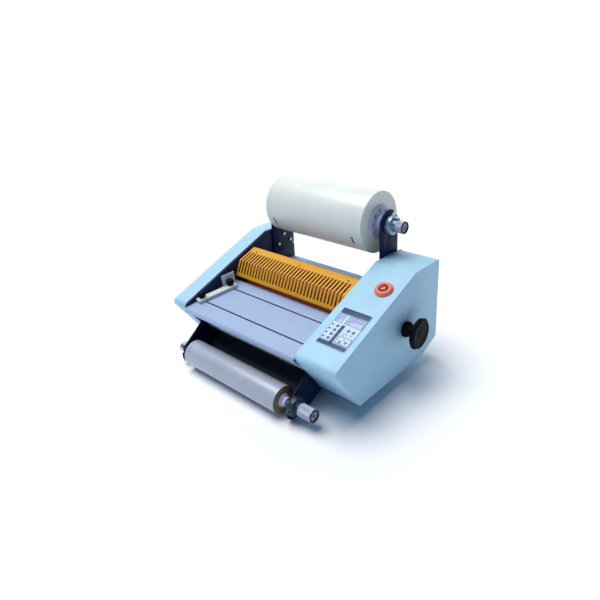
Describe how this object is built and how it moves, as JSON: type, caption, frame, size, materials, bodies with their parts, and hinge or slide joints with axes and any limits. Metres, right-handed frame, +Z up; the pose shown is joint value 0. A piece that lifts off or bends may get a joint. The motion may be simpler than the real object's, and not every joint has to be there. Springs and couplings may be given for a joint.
{
  "type": "roll laminator",
  "caption": "Desktop roll laminator with a sloping control cover, slotted roller guard, cam-lifted nip rollers and film rolls on open hooks above and below.",
  "frame": {"origin": "centre of the whole machine's footprint, on the table", "axes": "+X to the operator's right, +Y from the feed side to the rear, +Z up"},
  "size_m": [0.591, 0.477, 0.429],
  "materials": {
    "left_side_plate": "navy powder coat",
    "left_cover": "pale sky-blue powder coat",
    "base_pan": "black powder coat",
    "rear_cover": "pale blue powder coat",
    "feed_table": "lavender-blue powder coat",
    "upper_left_arm": "navy powder coat",
    "rubber_feet": "moulded",
    "panel_overlay": "printed film",
    "display_windows": "tinted window",
    "stop_shroud": "moulded",
    "power_inlet": "moulded",
    "power_rocker": "moulded",
    "bearing_bushes": "sintered bronze",
    "control_board": "solder mask",
    "drive_motor": "cast",
    "frame_screws": "zinc plated",
    "guard_pins": "turned",
    "pressure_springs": "spring wire",
    "roller_guard": "orange powder coat",
    "side_guide": "moulded",
    "guide_knob_front": "moulded",
    "stop_button": "moulded",
    "key_preset_1": "moulded",
    "key_run": "moulded",
    "key_stop": "moulded",
    "front_lower_roller": "silicone",
    "front_roller_gear": "hobbed",
    "transfer_gear": "acetal",
    "motor_pinion": "hobbed",
    "lift_yokes": "plate",
    "cam_shaft": "turned",
    "lift_knob": "moulded",
    "film_idler": "ground",
    "upper_shaft": "turned",
    "upper_core": "spiral wound",
    "upper_film": "satin film",
    "upper_chucks": "moulded",
    "upper_brake": "blue zinc",
    "upper_tension_knob": "knurled",
    "lower_core": "spiral wound",
    "lower_film": "satin film"
  },
  "bodies": {
    "frame": {"left_side_plate": "left_side_plate", "right_side_plate": "left_side_plate", "left_cover": "left_cover", "right_cover": "left_cover", "base_pan": "base_pan", "rear_cover": "rear_cover", "feed_table": "feed_table", "upper_left_arm": "upper_left_arm", "upper_right_arm": "upper_left_arm", "lower_left_arm": "upper_left_arm", "lower_right_arm": "upper_left_arm", "rubber_feet": "rubber_feet", "panel_overlay": "panel_overlay", "display_windows": "display_windows", "stop_shroud": "stop_shroud", "power_inlet": "power_inlet", "bearing_bushes": "bearing_bushes", "control_board": "control_board", "drive_motor": "drive_motor", "frame_screws": "frame_screws", "guard_pins": "guard_pins", "pressure_springs": "pressure_springs"},
    "guard": {"roller_guard": "roller_guard"},
    "guide": {"side_guide": "side_guide"},
    "guide_screw_front": {"guide_knob_front": "guide_knob_front"},
    "guide_screw_rear": {"guide_knob_rear": "guide_knob_front"},
    "stop_push": {"stop_button": "stop_button"},
    "rocker": {"power_rocker": "power_rocker"},
    "front_lower": {"front_lower_roller": "front_lower_roller", "front_roller_gear": "front_roller_gear"},
    "rear_lower": {"rear_lower_roller": "front_lower_roller", "rear_roller_gear": "front_roller_gear"},
    "transfer": {"transfer_gear": "transfer_gear"},
    "pinion": {"motor_pinion": "motor_pinion"},
    "yokes": {"lift_yokes": "lift_yokes"},
    "front_upper": {"front_upper_roller": "front_lower_roller"},
    "rear_upper": {"rear_upper_roller": "front_lower_roller"},
    "lift_cam": {"cam_shaft": "cam_shaft", "lift_knob": "lift_knob"},
    "idler": {"film_idler": "film_idler"},
    "upper_roll": {"upper_shaft": "upper_shaft", "upper_core": "upper_core", "upper_film": "upper_film", "upper_chucks": "upper_chucks", "upper_brake": "upper_brake"},
    "upper_knob": {"upper_tension_knob": "upper_tension_knob"},
    "lower_roll": {"lower_shaft": "upper_shaft", "lower_core": "lower_core", "lower_film": "lower_film", "lower_chucks": "upper_chucks", "lower_brake": "upper_brake"},
    "lower_knob": {"lower_tension_knob": "upper_tension_knob"},
    "key_preset_1_body": {"key_preset_1": "key_preset_1"},
    "key_preset_2_body": {"key_preset_2": "key_preset_1"},
    "key_preset_3_body": {"key_preset_3": "key_preset_1"},
    "key_preset_4_body": {"key_preset_4": "key_preset_1"},
    "key_up_body": {"key_up": "key_preset_1"},
    "key_down_body": {"key_down": "key_preset_1"},
    "key_run_body": {"key_run": "key_run"},
    "key_stop_body": {"key_stop": "key_stop"}
  },
  "joints": [
    {"name": "front_lower_spin", "type": "hinge", "parent": "frame", "child": "front_lower", "pos_m": [-0.0525, 0.0215, 0.148], "axis": [1, 0, 0], "continuous": true},
    {"name": "rear_lower_spin", "type": "hinge", "parent": "frame", "child": "rear_lower", "pos_m": [-0.0525, 0.1085, 0.148], "axis": [1, 0, 0], "continuous": true},
    {"name": "transfer_spin", "type": "hinge", "parent": "frame", "child": "transfer", "pos_m": [-0.0525, 0.065, 0.09639], "axis": [1, 0, 0], "continuous": true},
    {"name": "pinion_spin", "type": "hinge", "parent": "frame", "child": "pinion", "pos_m": [-0.0525, 0.00862, 0.07586], "axis": [1, 0, 0], "continuous": true},
    {"name": "lift_knob_turn", "type": "hinge", "parent": "frame", "child": "lift_cam", "pos_m": [-0.0525, 0.0595, 0.148], "axis": [1, 0, 0], "range_deg": [0, 90]},
    {"name": "yoke_lift", "type": "slide", "parent": "frame", "child": "yokes", "axis": [0, 0, 1], "range_m": [0, 0.004], "deforming": ["pressure_springs"]},
    {"name": "front_upper_spin", "type": "hinge", "parent": "yokes", "child": "front_upper", "pos_m": [-0.0525, 0.0215, 0.188], "axis": [1, 0, 0], "continuous": true},
    {"name": "rear_upper_spin", "type": "hinge", "parent": "yokes", "child": "rear_upper", "pos_m": [-0.0525, 0.1085, 0.188], "axis": [1, 0, 0], "continuous": true},
    {"name": "film_idler_spin", "type": "hinge", "parent": "frame", "child": "idler", "pos_m": [-0.0525, -0.1295, 0.084], "axis": [1, 0, 0], "continuous": true},
    {"name": "upper_roll_spin", "type": "hinge", "parent": "frame", "child": "upper_roll", "pos_m": [-0.0525, 0.1605, 0.351], "axis": [1, 0, 0], "continuous": true},
    {"name": "upper_tension_turn", "type": "hinge", "parent": "upper_roll", "child": "upper_knob", "pos_m": [-0.0525, 0.1605, 0.351], "axis": [1, 0, 0], "range_deg": [-180, 180]},
    {"name": "lower_roll_spin", "type": "hinge", "parent": "frame", "child": "lower_roll", "pos_m": [-0.0525, -0.2055, 0.04], "axis": [1, 0, 0], "continuous": true},
    {"name": "lower_tension_turn", "type": "hinge", "parent": "lower_roll", "child": "lower_knob", "pos_m": [-0.0525, -0.2055, 0.04], "axis": [1, 0, 0], "range_deg": [-180, 180]},
    {"name": "guard_open", "type": "hinge", "parent": "frame", "child": "guard", "pos_m": [-0.0525, 0.0425, 0.236], "axis": [-1, 0, 0], "range_deg": [0, 75]},
    {"name": "guide_slide", "type": "slide", "parent": "frame", "child": "guide", "axis": [1, 0, 0], "range_m": [0, 0.15]},
    {"name": "guide_screw_front_turn", "type": "hinge", "parent": "guide", "child": "guide_screw_front", "pos_m": [-0.2315, -0.14672, 0.16039], "axis": [0, -0.102, 0.9948], "range_deg": [-180, 180]},
    {"name": "guide_screw_rear_turn", "type": "hinge", "parent": "guide", "child": "guide_screw_rear", "pos_m": [-0.21537, -0.06416, 0.16886], "axis": [0, -0.102, 0.9948], "range_deg": [-180, 180]},
    {"name": "stop_push_slide", "type": "slide", "parent": "frame", "child": "stop_push", "axis": [0, 0.3535, -0.9354], "range_m": [0, 0.004], "stiffness_N_per_m": 600},
    {"name": "power_rocker_tilt", "type": "hinge", "parent": "frame", "child": "rocker", "pos_m": [0.1975, 0.2065, 0.113], "axis": [1, 0, 0], "range_deg": [0, 16]},
    {"name": "key_preset_1_press", "type": "slide", "parent": "frame", "child": "key_preset_1_body", "axis": [0, 0.3535, -0.9354], "range_m": [0, 0.0005], "stiffness_N_per_m": 1500},
    {"name": "key_preset_2_press", "type": "slide", "parent": "frame", "child": "key_preset_2_body", "axis": [0, 0.3535, -0.9354], "range_m": [0, 0.0005], "stiffness_N_per_m": 1500},
    {"name": "key_preset_3_press", "type": "slide", "parent": "frame", "child": "key_preset_3_body", "axis": [0, 0.3535, -0.9354], "range_m": [0, 0.0005], "stiffness_N_per_m": 1500},
    {"name": "key_preset_4_press", "type": "slide", "parent": "frame", "child": "key_preset_4_body", "axis": [0, 0.3535, -0.9354], "range_m": [0, 0.0005], "stiffness_N_per_m": 1500},
    {"name": "key_up_press", "type": "slide", "parent": "frame", "child": "key_up_body", "axis": [0, 0.3535, -0.9354], "range_m": [0, 0.0005], "stiffness_N_per_m": 1500},
    {"name": "key_down_press", "type": "slide", "parent": "frame", "child": "key_down_body", "axis": [0, 0.3535, -0.9354], "range_m": [0, 0.0005], "stiffness_N_per_m": 1500},
    {"name": "key_run_press", "type": "slide", "parent": "frame", "child": "key_run_body", "axis": [0, 0.3535, -0.9354], "range_m": [0, 0.0005], "stiffness_N_per_m": 1500},
    {"name": "key_stop_press", "type": "slide", "parent": "frame", "child": "key_stop_body", "axis": [0, 0.3535, -0.9354], "range_m": [0, 0.0005], "stiffness_N_per_m": 1500}
  ],
  "couplings": [
    {"joint": "rear_lower_spin", "follows": "front_lower_spin", "ratio": 1},
    {"joint": "transfer_spin", "follows": "front_lower_spin", "ratio": -0.5},
    {"joint": "pinion_spin", "follows": "front_lower_spin", "ratio": 1.5},
    {"joint": "front_upper_spin", "follows": "front_lower_spin", "ratio": -1},
    {"joint": "rear_upper_spin", "follows": "front_lower_spin", "ratio": -1},
    {"joint": "lift_knob_turn", "follows": "yoke_lift", "rad_per_m": 392.7}
  ]
}
